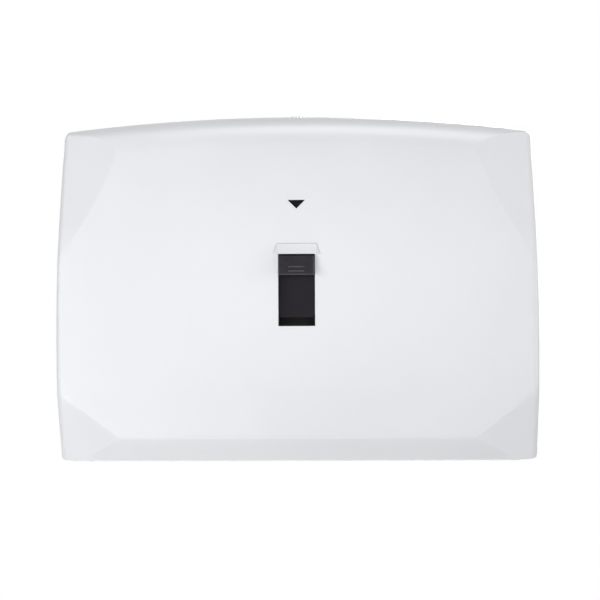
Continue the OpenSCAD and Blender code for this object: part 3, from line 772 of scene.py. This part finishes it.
# %% Hood
hood_front = face_y(0, HOOD_TOP) - HOOD_STEP
hood_y = hood_front + 1
hood_middle = at(0, hood_y, HOOD_MID)
hood = block("hood", (-HOOD_W / 2, hood_front, SLOT_TOP), (HOOD_W / 2, hood_front + 3, HOOD_TOP))
widen(hood, lambda v: drawn(v)[2] < HOOD_MID and drawn(v)[1] > hood_y,
      1 + 2 * CHEEK_FOOT / HOOD_W, hood_middle)
widen(hood, lambda v: drawn(v)[2] > HOOD_MID and drawn(v)[1] > hood_y,
      1 + 2 * CHEEK_TOP / HOOD_W, hood_middle)
shift(hood, lambda v: drawn(v)[2] < HOOD_MID and drawn(v)[1] < hood_y,
      y=face_y(0, SLOT_TOP) - HOOD_PROUD - hood_front)
pick(hood, "edges", lambda e: all(y < hood_y for _, y, _ in ends(hood, e)))
bpy.ops.mesh.bevel(offset=HOOD_ROUND * MM, segments=3, affect="EDGES")
done()
report(hood)
fuse(cover, hood)

# %% Slot, lock hole and pivot holes
SLIDE_FRONT, LOCK_D, BARREL_R = 70.5, 26.0, 5.0
PIVOT_D, PIVOT_Z, PIVOT_HOLE_R = 10.0, 8.0, 3.2
cut(cover, block("slot", (-SLOT_W / 2, -2 * CASE_D, SLOT_Z), (SLOT_W / 2, -SLIDE_FRONT, SLOT_TOP)))
cut(cover, bar("lock_hole", "z", BARREL_R + 0.02, CASE_H - 8, CASE_H + 5, (0, -LOCK_D), 64))
cut(cover, bar("pivot_hole", "x", PIVOT_HOLE_R, -HALF_W - 5, HALF_W + 5, (-PIVOT_D, PIVOT_Z), 48))
smooth(cover, 30)
report(cover)

# %% Collar, bosses and ribs behind the face
SLIDE_BACK, SLIP, RIB_T = SLIDE_FRONT - 2.5, 0.3, 2.0
TRACK_BACK = SLIDE_BACK - SLIP - RIB_T
EAR_X, EAR_ZS = 30.9, (98.2, 228.2)
BOSS_R, THREAD_R, COLLAR_T = 3.85, 1.47, 1.6
RIB_LOW, RIB_HIGH, RIB_BACK, RIB_XS = 43.5, 280.0, -51.5, (75.2, 150.4)
collar_front = face_y(0, BELLY_Z) + COVER_T / 2
collar = block("collar", (-SLOT_W / 2 - COLLAR_T, collar_front + 0.6, SLOT_Z - COLLAR_T),
               (SLOT_W / 2 + COLLAR_T, -SLIDE_FRONT - SLIP - 0.2, SLOT_TOP + COLLAR_T))
cut(collar, block("slot_again", (-SLOT_W / 2, -2 * CASE_D, SLOT_Z), (SLOT_W / 2, 0, SLOT_TOP)))
behind = [collar]
for x in (-EAR_X, EAR_X):
    for z in EAR_ZS:
        boss = bar("boss", "y", BOSS_R, face_y(x, z) + COVER_T / 2, -TRACK_BACK - RIB_T, (x, z), 32)
        cut(boss, bar("screw_hole", "y", THREAD_R, face_y(x, z) + COVER_T, 0, (x, z), 24))
        behind.append(boss)


def is_long(piece, edge):
    first, second = ends(piece, edge)
    return math.dist(first, second) > 100


def pack_rib(x, steps=24):
    """A thin upright rib from the wall of the cover to the front of the paper pack."""
    rib = block("rib", (x - RIB_T / 2, RIB_BACK - 8.5, RIB_LOW), (x + RIB_T / 2, RIB_BACK, RIB_HIGH))
    pick(rib, "edges", lambda e: is_long(rib, e))
    bpy.ops.mesh.subdivide(number_cuts=steps)
    done()
    for vertex in rib.data.vertices:
        _, y, height = drawn(vertex)
        if y < RIB_BACK - 1:
            vertex.co.y = (face_y(x, height) + COVER_T / 2) * MM
    return rib


for x in RIB_XS:
    behind += [pack_rib(x), pack_rib(-x)]
for piece in behind:
    smooth(piece)
cover = join(cover, *behind)
dress(cover, WHITE, "cover", "white_cover", "front_cover")

# %% [markdown]
# ## The printed arrow
# Above the hood a small solid triangle points down, the way the lever slides. It is a film of ink:
# a three-sided disc, drawn to size and laid on the crown so that it stands 0.05 mm proud.

# %% Printed arrow
ARROW_W, ARROW_LOW, ARROW_HIGH = 15.8, 230.8, 238.7
reach = ARROW_W / math.sqrt(3)
bpy.ops.object.select_all(action="DESELECT")
bpy.ops.mesh.primitive_cylinder_add(
    vertices=3, radius=reach * MM, depth=MM, location=at(0, -CASE_D, ARROW_LOW + reach),
    rotation=(math.radians(-90), 0, 0))
arrow = settle(bpy.context.object)
arrow.name = "printed_arrow"
pick(arrow, "vertices", everything)
bpy.ops.transform.resize(value=(1, 1, (ARROW_HIGH - ARROW_LOW) / (1.5 * reach)),
                         center_override=at(0, -CASE_D, ARROW_LOW))
bpy.ops.mesh.bevel(offset=0.3 * MM, segments=2, affect="EDGES")
done()
for vertex in arrow.data.vertices:
    x, y, height = drawn(vertex)
    proud = 0.05 if y < -CASE_D else -0.3
    vertex.co.y = (face_y(x, height) - proud) * MM
dress(arrow, INK, "cover", "black_lever")

# %% [markdown]
# ## The finger button
# The button is a ramp: nearly flush with the hood at its top and further out at its foot, so a
# fingertip can press it in and pull it down. It starts as a block, its foot is drawn forward, its
# upright edges are chamfered, the lip is rounded wide and the other edges a little. Two low ribs
# give grip. Behind it a square stem carries the foot block, with a small catch on each side.

# %% Button values
BUTTON_W, BUTTON_H = 32.4, 19.4
BUTTON_Z1 = SLOT_TOP + 0.2
BUTTON_Z0 = BUTTON_Z1 - BUTTON_H
BUTTON_MID = (BUTTON_Z0 + BUTTON_Z1) / 2
BUTTON_BACK = SLIDE_FRONT + 8 + SLIP
TOP_PROUD = -face_y(0, BUTTON_Z1) + 4
LOW_PROUD = -face_y(0, BUTTON_Z0) + 9
CHAMFER, TOP_GAP, LIP_ROUND, GRIP_HALF = 1.3, 1.7, 1.5, 7.3
STEM_HALF, STEM_END, CATCH_Y = 7.0, 58.0, -SLIDE_BACK + 1.2 + SLIP
PRESS_X, POCKET_R, POCKET_WALL = 11.6, 2.8, 3.2


def ramp_y(z):
    """Depth of the button's ramp at a height."""
    return -LOW_PROUD + (LOW_PROUD - TOP_PROUD) * (z - BUTTON_Z0) / BUTTON_H


# %% Button cap
CAP_BACK = -BUTTON_BACK - 1
button = block("finger_button", (-BUTTON_W / 2, -TOP_PROUD, BUTTON_Z0),
               (BUTTON_W / 2, -BUTTON_BACK, BUTTON_Z1 - TOP_GAP))
shift(button, lambda v: drawn(v)[1] < CAP_BACK and drawn(v)[2] < BUTTON_MID, y=TOP_PROUD - LOW_PROUD)


def upright_front(edge):
    """True for the two edges that run down the front of the cap."""
    (x0, y0, _), (x1, y1, _) = ends(button, edge)
    return max(y0, y1) < CAP_BACK and abs(x0 - x1) < 0.001


pick(button, "edges", upright_front)
bpy.ops.mesh.bevel(offset=CHAMFER * MM, segments=1, affect="EDGES")
done()
pick(button, "edges", lambda e: all(y < -TOP_PROUD - 2 for _, y, _ in ends(button, e)))
bpy.ops.mesh.bevel(offset=LIP_ROUND * MM, segments=4, affect="EDGES")
done()
close_up(round_edges(button, 0.45, 3, 22))
for drop in (2.5, 6.2):
    z = BUTTON_MID - drop
    fuse(button, bar("rib", "x", 0.9, -GRIP_HALF, GRIP_HALF, (ramp_y(z) + 0.45, z), 24))
report(button)

# %% Stem, catches and spring pockets
stem = block("stem", (-STEM_HALF, CAP_BACK, BUTTON_MID - STEM_HALF),
             (STEM_HALF, -STEM_END, BUTTON_MID + STEM_HALF))
for side in (-1, 1):
    hook = block("hook", (side * (STEM_HALF - 0.5), CATCH_Y, BUTTON_MID - 3),
                 (side * (STEM_HALF + 1.5), CATCH_Y + 2.2, BUTTON_MID + 3))
    pick(hook, "vertices", everything)
    bpy.ops.mesh.normals_make_consistent(inside=False)
    done()
    fuse(stem, hook)
fuse(button, round_edges(stem, 0.3, 2))
for side in (-1, 1):
    cut(button, bar("pocket", "y", POCKET_R, ramp_y(BUTTON_MID) + POCKET_WALL, CAP_BACK + 2,
                    (side * PRESS_X, BUTTON_MID), 32))
cut(button, bar("screw_hole", "y", THREAD_R, -STEM_END - 10, -STEM_END + 1, (0, BUTTON_MID), 24))
smooth(close_up(button), 40)
finish_with(button, "WEIGHTED_NORMAL", keep_sharp=True)
dress(button, BUTTON_BLACK, "button", "black_lever", "lever_button")

# %% [markdown]
# ## Copies with rounded edges
# Many hidden pieces already have the right form in CAD, but their edges are mathematically sharp,
# and a sharp edge never catches the light. A copy of the CAD mesh is merged into clean faces, its
# edges are rounded by the small radius that its process leaves, slivers are closed up, and the copy
# stands for the node.

# %% Rounded copy
def rounded_copy(node, name, width, segments=2):
    """A copy of a CAD node as clean faces with rounded edges."""
    piece = bpy.data.objects.new(name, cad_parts[node].data.copy())
    bpy.context.scene.collection.objects.link(piece)
    only(piece)
    bpy.ops.mesh.customdata_custom_splitnormals_clear()
    pick(piece, "vertices", everything)
    bpy.ops.mesh.remove_doubles(threshold=1e-6)
    bpy.ops.mesh.dissolve_limited(angle_limit=math.radians(0.4))
    done()
    close_up(round_edges(piece, width, segments))
    smooth(piece, 40)
    return finish_with(piece, "WEIGHTED_NORMAL", keep_sharp=True)


# %% Pieces that only need rounding
PLAIN = [
    ("slide_carriage", "slide_plate", 0.35, SLIDE_BLACK, "slide", "black_lever"),
    ("slide_track", "guide_track", 0.4, SLIDE_BLACK, "cover", "black_track"),
    ("foot_block", "stem_foot", 0.4, SLIDE_BLACK, "button", "black_track"),
    ("feed_pad", "rubber_pad", 0.25, RUBBER, "button", "pad_rubber"),
    ("back_plate", "wall_plate", 0.4, DULL_WHITE, "wall_unit", "white_plate"),
    # The flap's grey finish is painted shade for the chamber behind the slot.
    ("pressure_flap", "pack_flap", 0.4, FLAP_PAINTED_SHADE, "flap", "white_plate"),
    ("lock_barrel", "lock_body", 0.25, CHROME, "cover", "lock_metal"),
    ("lock_plug", "lock_key_plug", 0.15, CHROME, "lock", "lock_metal"),
    ("lock_nut", "lock_hex_nut", 0.35, ZINC, "cover", "steel"),
    ("lock_cam", "lock_hook", 0.3, ZINC, "lock", "steel"),
    ("lock_strike", "strike_bracket", 0.3, ZINC, "wall_unit", "steel"),
    ("hinge_pin_left", "pivot_pin_left", 0.4, ZINC, "wall_unit", "steel"),
    ("hinge_pin_right", "pivot_pin_right", 0.4, ZINC, "wall_unit", "steel"),
    ("flap_rod", "hanging_rod", 0.4, ZINC, "wall_unit", "steel"),
    ("rod_clips", "rod_end_clips", 0.15, SPRING_STEEL, "wall_unit", "steel"),
]
for node, name, width, finish, body, slot in PLAIN:
    dress(rounded_copy(node, name, width), finish, body, slot, node)

# %% [markdown]
# The flap carries a dark rubber strip where the feed pad presses the pack. It is painted shade:
# through the gap below the slide it is what the eye meets, and it makes the chamber behind the slot read
# dark.

# %% Dark strip on the flap, painted shade
ROD_D, ROD_Z = 9.0, 280.0
FLAP_FACE, FLAP_LEAN = 1.0, math.radians(7)
STRIP_HALF, STRIP_T, STRIP_LOW, STRIP_HIGH = 28.0, 0.8, 108.0, 206.0


def flap_y(z):
    """Depth of the flap's front face at a height, as it hangs."""
    return -ROD_D + FLAP_FACE - (ROD_Z - z) * math.tan(FLAP_LEAN)


# A dark strip that stands in for the shade in the chamber behind the slot.
strip = block("painted_shade_strip", (-STRIP_HALF, flap_y(STRIP_HIGH) - STRIP_T, STRIP_LOW),
              (STRIP_HALF, flap_y(STRIP_HIGH) + 0.3, STRIP_HIGH))
shift(strip, lambda v: drawn(v)[2] < STRIP_HIGH - 1, y=flap_y(STRIP_LOW) - flap_y(STRIP_HIGH))
smooth(round_edges(strip, 0.25, 2))
dress(strip, RUBBER, "flap", "pad_rubber")

# %% Screws
CROSS_LONG, CROSS_DEEP, CROSS_THIN = 1.7, 0.9, 0.35


def cross_recess(piece, places, axis):
    """Cuts the cross of a screwdriver into the head at each place."""
    for place in places:
        for wide, thin in ((CROSS_LONG, CROSS_THIN), (CROSS_THIN, CROSS_LONG)):
            half = {"y": (wide, CROSS_DEEP, thin), "z": (wide, thin, CROSS_DEEP)}[axis]
            low = [place[i] - half[i] for i in range(3)]
            high = [place[i] + half[i] for i in range(3)]
            cut(piece, block("cross", low, high))
    return piece


strike_low, strike_high = (np.array(c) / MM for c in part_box("strike_screws"))
strike_z = (strike_low[2] + strike_high[2]) / 2 + LOWERED
cam_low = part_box("cam_screw")[0].z / MM + LOWERED
foot_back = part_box("foot_screw")[1].y / MM
track_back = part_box("track_screws")[1].y / MM
SCREWS = [
    ("track_screws", "guide_screws", "cover", "y",
     [(x, track_back, z) for x in (-EAR_X, EAR_X) for z in EAR_ZS]),
    ("strike_screws", "bracket_screws", "wall_unit", "y",
     [(x, strike_low[1], strike_z) for x in (-8, 8)]),
    ("foot_screw", "stem_screw", "button", "y", [(0, foot_back, BUTTON_MID)]),
    ("cam_screw", "hook_screw", "lock", "z", [(0, -LOCK_D, cam_low)]),
]
for node, name, body, axis, places in SCREWS:
    screw = rounded_copy(node, name, 0.5, 3)
    smooth(cross_recess(screw, places, axis))
    dress(screw, ZINC, body, "steel", node)

# %% [markdown]
# ## Springs
# A coil spring is a wire along a helix, with its end turns closed so that it stands flat. The
# wire's path is worked out point by point and becomes a round tube. A torsion spring has one leg
# on the plate and one on the flap.

# %% Wire
def wire(name, points, radius):
    """A round wire along points of the drawing."""
    curve = bpy.data.curves.new(name, "CURVE")
    curve.dimensions = "3D"
    curve.bevel_depth = radius * MM
    curve.bevel_resolution = 2
    curve.use_fill_caps = True
    spline = curve.splines.new("POLY")
    spline.points.add(len(points) - 1)
    for point, place in zip(spline.points, points):
        point.co = (*at(*place), 1)
    piece = bpy.data.objects.new(name, curve)
    bpy.context.scene.collection.objects.link(piece)
    only(piece)
    bpy.ops.object.convert(target="MESH")
    return smooth(bpy.context.object, 60)


def helix(coil_r, wire_r, turns, length, steps=20):
    """Points round the Z axis from 0 to the length, with a closed turn at each end."""
    dead, low, high = 2.1 * wire_r, wire_r, length - wire_r
    points = []
    for i in range(turns * steps + 1):
        t = i / steps
        if t < 1:
            z = low + dead * t
        elif t > turns - 1:
            z = high - dead * (turns - t)
        else:
            z = low + dead + (high - low - 2 * dead) * (t - 1) / (turns - 2)
        angle = 2 * math.pi * t
        points.append((coil_r * math.cos(angle), coil_r * math.sin(angle), z))
    return points


# %% Return springs and press springs
RETURN_X, RETURN_D, TRAVEL = 21.0, 61.5, 46.0
RETURN_R, RETURN_WIRE, RETURN_TURNS = 2.4, 0.4, 13
PRESS_R, PRESS_WIRE, PRESS_TURNS, PRESS = 2.1, 0.3, 4, 8.0
foot, head = (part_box("return_spring_right")[i].z / MM + LOWERED for i in (0, 1))
front, back = (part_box("press_spring_right")[i].y / MM for i in (0, 1))
for side, word in ((-1, "left"), (1, "right")):
    coil = helix(RETURN_R, RETURN_WIRE, RETURN_TURNS, head - foot)
    path = [(x + side * RETURN_X, y - RETURN_D, z + foot) for x, y, z in coil]
    spring = wire(f"lift_spring_{word}", path, RETURN_WIRE)
    dress(spring, SPRING_STEEL, "cover", "steel", f"return_spring_{word}")
    at(side * RETURN_X, -RETURN_D, foot)
    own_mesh(spring)
    coil = helix(PRESS_R, PRESS_WIRE, PRESS_TURNS, back - front)
    path = [(x + side * PRESS_X, back - z, y + BUTTON_MID) for x, y, z in coil]
    spring = wire(f"button_spring_{word}", path, PRESS_WIRE)
    dress(spring, SPRING_STEEL, "slide", "steel", f"press_spring_{word}")
    at(side * PRESS_X, back, BUTTON_MID)
    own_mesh(spring)

# %% Torsion springs of the flap
FLAP_X = 76.0
FLAP_COIL_R, FLAP_WIRE_R, FLAP_TURNS = 3.0, 0.45, 4
FIXED_LEG, MOVING_LEG, TURN_STEPS = 8.0, 14.0, 20
pitch = 2.6 * FLAP_WIRE_R


def torsion_path(side):
    """The wire of a torsion spring: a leg on the plate, turns round the rod, a leg on the flap."""
    flat = [(FLAP_COIL_R, -FIXED_LEG, 0.0)]
    for i in range(FLAP_TURNS * TURN_STEPS + 1):
        t = i / TURN_STEPS
        angle = 2 * math.pi * t
        flat.append((FLAP_COIL_R * math.cos(angle), FLAP_COIL_R * math.sin(angle), pitch * t))
    flat.append((FLAP_COIL_R, MOVING_LEG, pitch * FLAP_TURNS))
    turn = math.radians(90) + FLAP_LEAN
    path = []
    for a, b, along in flat:
        a, b = a * math.cos(turn) - b * math.sin(turn), a * math.sin(turn) + b * math.cos(turn)
        path.append((side * (FLAP_X + along), b - ROD_D, ROD_Z - a))
    return path


for side, word in ((-1, "left"), (1, "right")):
    spring = wire(f"flap_coil_{word}", torsion_path(side), FLAP_WIRE_R)
    box = np.array([list(c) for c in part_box(f"flap_spring_{word}")])
    corners = np.array([v.co for v in spring.data.vertices])
    off = (np.array([corners.min(0), corners.max(0)]) - box) / MM
    print("spring off its node by", np.round(off, 2).tolist(), "mm")
    dress(spring, SPRING_STEEL, None, "steel", f"flap_spring_{word}")
    at(side * FLAP_X, -ROD_D, ROD_Z)
    at(side * (FLAP_X + pitch * FLAP_TURNS), -ROD_D, ROD_Z)
    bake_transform(spring)

# %% [markdown]
# ## Floor
# A plain pale floor, far enough below for an object that hangs on a wall.

# %% Floor
def floor_finish():
    finish = Finish("pale_floor", Roughness=0.8)
    return finish.set(Base_Color=finish.mix(finish.ramp(finish.noise(3, 3), 0.3, 0.7),
                                            (0.8, 0.8, 0.8), (0.83, 0.83, 0.83)))


bpy.ops.object.select_all(action="DESELECT")
bpy.ops.mesh.primitive_plane_add(size=1, location=(0, -1.6, -0.5), scale=(7, 7, 1))
floor = settle(bpy.context.object)
floor.name = "floor"
floor.data.materials.append(floor_finish())
print("floor at", round(floor.data.vertices[0].co.z, 2), "m")
